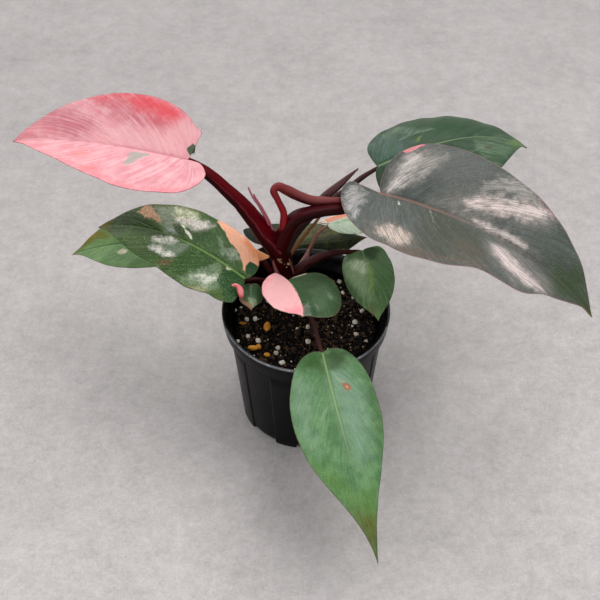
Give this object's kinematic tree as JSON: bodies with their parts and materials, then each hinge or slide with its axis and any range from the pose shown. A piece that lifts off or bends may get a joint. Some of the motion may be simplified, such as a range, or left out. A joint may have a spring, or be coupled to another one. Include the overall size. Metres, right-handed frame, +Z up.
{
  "type": "pink princess philodendron in a nursery pot",
  "caption": "Young potted aroid house plant with heart-shaped leaves marbled green and pink on long dark petioles, in a ribbed black nursery pot full of potting mix.",
  "frame": {"origin": "centre of the pot's base, on the surface that the pot stands on", "axes": "+Z up out of the pot, X along the plant's widest spread with the pink leaf at -X and the large leaf at +X, -Y towards the hanging leaf"},
  "size_m": [0.4389, 0.3413, 0.2391],
  "materials": {
    "pot": "satin",
    "potting_mix": "matte",
    "stem": "satin",
    "green_blade": "satin",
    "silvery_blade": "satin",
    "marbled_blade": "satin",
    "pink_blade": "satin",
    "half_pink_blade": "satin",
    "pale_blade": "satin",
    "old_blade": "satin",
    "red_sheath": "satin",
    "dark_sheath": "satin",
    "pink_growth": "satin",
    "dry_growth": "matte"
  },
  "bodies": {
    "root": {"pot": "pot", "potting_mix": "potting_mix", "plant_stem": "stem", "pink_leaf": "pink_blade", "large_leaf": "silvery_blade", "back_leaf": "green_blade", "side_leaf": "green_blade", "marbled_leaf": "marbled_blade", "under_leaf": "green_blade", "shaded_leaf": "pale_blade", "hanging_leaf": "green_blade", "half_pink_leaf": "half_pink_blade", "tiny_leaf": "green_blade", "old_leaf": "old_blade", "bent_sheath": "red_sheath", "new_leaf_spear": "dark_sheath", "pink_sheath": "pink_growth", "dry_sheath": "dry_growth", "pink_bud": "pink_growth"}
  },
  "joints": []
}
